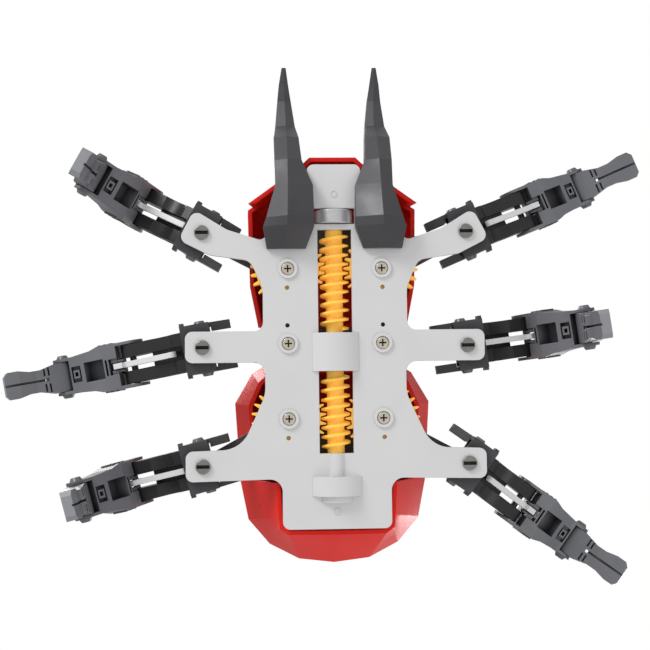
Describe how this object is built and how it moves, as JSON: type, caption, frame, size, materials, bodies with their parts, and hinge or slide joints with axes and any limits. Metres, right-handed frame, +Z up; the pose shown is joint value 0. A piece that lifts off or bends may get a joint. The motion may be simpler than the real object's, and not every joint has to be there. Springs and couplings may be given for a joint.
{
  "type": "solar robot kit",
  "caption": "Beetle-shaped walking robot kit with a worm drive between two chassis plates, hinged legs, horns, and a red shell that carries a solar panel.",
  "frame": {"origin": "centre of the pilot-hole rectangle on the underside of the lower chassis plate", "axes": "+Z up, the horns point to -Y, +X is the side of the right-hand legs as seen in the reference view from below"},
  "size_m": [0.2758, 0.2244, 0.0683],
  "materials": {
    "light_grey_plastic": "satin",
    "dark_grey_plastic": "satin",
    "amber_plastic": "gloss",
    "red_plastic": "gloss",
    "white_plastic": "satin",
    "screw_steel": "plated",
    "black_screw": "satin",
    "disc_aluminium": "turned",
    "motor_steel": "satin",
    "pinion_brass": "satin",
    "solar_cells": "gloss"
  },
  "bodies": {
    "chassis": {"lower_chassis": "light_grey_plastic", "upper_chassis": "dark_grey_plastic", "worm_strap": "light_grey_plastic", "rear_bearing_cap": "light_grey_plastic", "chassis_screws": "screw_steel", "hip_pins": "screw_steel", "motor": "motor_steel", "left_horn": "dark_grey_plastic", "right_horn": "dark_grey_plastic", "front_shell": "red_plastic", "rear_shell": "red_plastic", "solar_panel": "solar_cells"},
    "drive_shaft": {"worm_shaft": "screw_steel", "front_worm": "amber_plastic", "rear_worm": "amber_plastic", "front_thrust_disc": "disc_aluminium", "shaft_gear": "white_plastic"},
    "left_front_worm_wheel": {"left_front_worm_wheel": "amber_plastic"},
    "left_rear_worm_wheel": {"left_rear_worm_wheel": "amber_plastic"},
    "right_front_worm_wheel": {"right_front_worm_wheel": "amber_plastic"},
    "right_rear_worm_wheel": {"right_rear_worm_wheel": "amber_plastic"},
    "motor_pinion": {"motor_pinion": "pinion_brass"},
    "right_front_hip": {"right_front_hip_bracket": "dark_grey_plastic", "right_front_thigh": "dark_grey_plastic", "right_front_shoulder_screws": "black_screw"},
    "right_front_lower_leg": {"right_front_shin": "dark_grey_plastic", "right_front_foot": "dark_grey_plastic"},
    "right_front_rod": {"right_front_pull_rod": "white_plastic"},
    "right_middle_hip": {"right_middle_hip_bracket": "dark_grey_plastic", "right_middle_thigh": "dark_grey_plastic", "right_middle_shoulder_screws": "black_screw"},
    "right_middle_lower_leg": {"right_middle_shin": "dark_grey_plastic", "right_middle_foot": "dark_grey_plastic"},
    "right_middle_rod": {"right_middle_pull_rod": "white_plastic"},
    "right_rear_hip": {"right_rear_hip_bracket": "dark_grey_plastic", "right_rear_thigh": "dark_grey_plastic", "right_rear_shoulder_screws": "black_screw"},
    "right_rear_lower_leg": {"right_rear_shin": "dark_grey_plastic", "right_rear_foot": "dark_grey_plastic"},
    "right_rear_rod": {"right_rear_pull_rod": "white_plastic"},
    "left_front_hip": {"left_front_hip_bracket": "dark_grey_plastic", "left_front_thigh": "dark_grey_plastic", "left_front_shoulder_screws": "black_screw"},
    "left_front_lower_leg": {"left_front_shin": "dark_grey_plastic", "left_front_foot": "dark_grey_plastic"},
    "left_front_rod": {"left_front_pull_rod": "white_plastic"},
    "left_middle_hip": {"left_middle_hip_bracket": "dark_grey_plastic", "left_middle_thigh": "dark_grey_plastic", "left_middle_shoulder_screws": "black_screw"},
    "left_middle_lower_leg": {"left_middle_shin": "dark_grey_plastic", "left_middle_foot": "dark_grey_plastic"},
    "left_middle_rod": {"left_middle_pull_rod": "white_plastic"},
    "left_rear_hip": {"left_rear_hip_bracket": "dark_grey_plastic", "left_rear_thigh": "dark_grey_plastic", "left_rear_shoulder_screws": "black_screw"},
    "left_rear_lower_leg": {"left_rear_shin": "dark_grey_plastic", "left_rear_foot": "dark_grey_plastic"},
    "left_rear_rod": {"left_rear_pull_rod": "white_plastic"}
  },
  "joints": [
    {"name": "shaft_spin", "type": "hinge", "parent": "chassis", "child": "drive_shaft", "pos_m": [0, 0, 0.0055], "axis": [0, 1, 0], "continuous": true},
    {"name": "left_front_worm_wheel_spin", "type": "hinge", "parent": "chassis", "child": "left_front_worm_wheel", "pos_m": [-0.0191, -0.0381, 0.0055], "axis": [0, 0, 1], "continuous": true},
    {"name": "left_rear_worm_wheel_spin", "type": "hinge", "parent": "chassis", "child": "left_rear_worm_wheel", "pos_m": [-0.0191, 0.0227, 0.0055], "axis": [0, 0, 1], "continuous": true},
    {"name": "right_front_worm_wheel_spin", "type": "hinge", "parent": "chassis", "child": "right_front_worm_wheel", "pos_m": [0.0191, -0.0381, 0.0055], "axis": [0, 0, 1], "continuous": true},
    {"name": "right_rear_worm_wheel_spin", "type": "hinge", "parent": "chassis", "child": "right_rear_worm_wheel", "pos_m": [0.0191, 0.0227, 0.0055], "axis": [0, 0, 1], "continuous": true},
    {"name": "pinion_spin", "type": "hinge", "parent": "chassis", "child": "motor_pinion", "pos_m": [0, 0, 0.0155], "axis": [0, 1, 0], "continuous": true},
    {"name": "right_front_swing", "type": "hinge", "parent": "chassis", "child": "right_front_hip", "pos_m": [0.0538, -0.053, 0], "axis": [0, 0, -1], "range_deg": [-3, 16]},
    {"name": "right_front_knee", "type": "hinge", "parent": "right_front_hip", "child": "right_front_lower_leg", "pos_m": [0.08246, -0.06487, 0.03049], "axis": [-0.3827, -0.9239, 0], "range_deg": [-66, 0]},
    {"name": "right_front_rod_slide", "type": "slide", "parent": "right_front_hip", "child": "right_front_rod", "axis": [0.7766, -0.3217, 0.5417], "range_m": [-0.00546, 0]},
    {"name": "right_middle_swing", "type": "hinge", "parent": "chassis", "child": "right_middle_hip", "pos_m": [0.0538, -0.0064, 0], "axis": [0, 0, -1], "range_deg": [-16, 3]},
    {"name": "right_middle_knee", "type": "hinge", "parent": "right_middle_hip", "child": "right_middle_lower_leg", "pos_m": [0.08453, -0.01061, 0.03049], "axis": [-0.1357, -0.9907, 0], "range_deg": [0, 66]},
    {"name": "right_middle_rod_slide", "type": "slide", "parent": "right_middle_hip", "child": "right_middle_rod", "axis": [0.8328, -0.1141, 0.5417], "range_m": [0, 0.00546]},
    {"name": "right_rear_swing", "type": "hinge", "parent": "chassis", "child": "right_rear_hip", "pos_m": [0.0538, 0.0414, 0], "axis": [0, 0, -1], "range_deg": [-3, 16]},
    {"name": "right_rear_knee", "type": "hinge", "parent": "right_rear_hip", "child": "right_rear_lower_leg", "pos_m": [0.07883, 0.05972, 0.03049], "axis": [0.5906, -0.807, 0], "range_deg": [-66, 0]},
    {"name": "right_rear_rod_slide", "type": "slide", "parent": "right_rear_hip", "child": "right_rear_rod", "axis": [0.6783, 0.4964, 0.5417], "range_m": [-0.00546, 0]},
    {"name": "left_front_swing", "type": "hinge", "parent": "chassis", "child": "left_front_hip", "pos_m": [-0.0538, -0.053, 0], "axis": [0, 0, 1], "range_deg": [-16, 3]},
    {"name": "left_front_knee", "type": "hinge", "parent": "left_front_hip", "child": "left_front_lower_leg", "pos_m": [-0.08093, -0.06804, 0.03049], "axis": [-0.4848, 0.8746, 0], "range_deg": [0, 66]},
    {"name": "left_front_rod_slide", "type": "slide", "parent": "left_front_hip", "child": "left_front_rod", "axis": [-0.7352, -0.4075, 0.5417], "range_m": [0, 0.00546]},
    {"name": "left_middle_swing", "type": "hinge", "parent": "chassis", "child": "left_middle_hip", "pos_m": [-0.0538, -0.0064, 0], "axis": [0, 0, 1], "range_deg": [-3, 16]},
    {"name": "left_middle_knee", "type": "hinge", "parent": "left_middle_hip", "child": "left_middle_lower_leg", "pos_m": [-0.08435, -0.00101, 0.03049], "axis": [0.1736, 0.9848, 0], "range_deg": [-66, 0]},
    {"name": "left_middle_rod_slide", "type": "slide", "parent": "left_middle_hip", "child": "left_middle_rod", "axis": [-0.8278, 0.146, 0.5417], "range_m": [-0.00546, 0]},
    {"name": "left_rear_swing", "type": "hinge", "parent": "chassis", "child": "left_rear_hip", "pos_m": [-0.0538, 0.0414, 0], "axis": [0, 0, 1], "range_deg": [-16, 3]},
    {"name": "left_rear_knee", "type": "hinge", "parent": "left_rear_hip", "child": "left_rear_lower_leg", "pos_m": [-0.08383, 0.04917, 0.03049], "axis": [0.2504, 0.9681, 0], "range_deg": [0, 66]},
    {"name": "left_rear_rod_slide", "type": "slide", "parent": "left_rear_hip", "child": "left_rear_rod", "axis": [-0.8138, 0.2105, 0.5417], "range_m": [0, 0.00546]}
  ],
  "couplings": [
    {"joint": "left_front_worm_wheel_spin", "follows": "shaft_spin", "ratio": -0.041667},
    {"joint": "left_rear_worm_wheel_spin", "follows": "shaft_spin", "ratio": -0.041667},
    {"joint": "right_front_worm_wheel_spin", "follows": "shaft_spin", "ratio": 0.041667},
    {"joint": "right_rear_worm_wheel_spin", "follows": "shaft_spin", "ratio": 0.041667},
    {"joint": "pinion_spin", "follows": "shaft_spin", "ratio": -4},
    {"joint": "right_front_knee", "follows": "right_middle_knee", "ratio": -1},
    {"joint": "right_front_rod_slide", "follows": "right_middle_knee", "m_per_rad": -0.0047277},
    {"joint": "right_middle_swing", "follows": "right_front_swing", "ratio": -1},
    {"joint": "right_middle_rod_slide", "follows": "right_middle_knee", "m_per_rad": 0.0047277},
    {"joint": "right_rear_swing", "follows": "right_front_swing", "ratio": 1},
    {"joint": "right_rear_knee", "follows": "right_middle_knee", "ratio": -1},
    {"joint": "right_rear_rod_slide", "follows": "right_middle_knee", "m_per_rad": -0.0047277},
    {"joint": "left_front_swing", "follows": "right_front_swing", "ratio": -1},
    {"joint": "left_front_knee", "follows": "right_middle_knee", "ratio": 1},
    {"joint": "left_front_rod_slide", "follows": "right_middle_knee", "m_per_rad": 0.0047277},
    {"joint": "left_middle_swing", "follows": "right_front_swing", "ratio": 1},
    {"joint": "left_middle_knee", "follows": "right_middle_knee", "ratio": -1},
    {"joint": "left_middle_rod_slide", "follows": "right_middle_knee", "m_per_rad": -0.0047277},
    {"joint": "left_rear_swing", "follows": "right_front_swing", "ratio": -1},
    {"joint": "left_rear_knee", "follows": "right_middle_knee", "ratio": 1},
    {"joint": "left_rear_rod_slide", "follows": "right_middle_knee", "m_per_rad": 0.0047277}
  ]
}
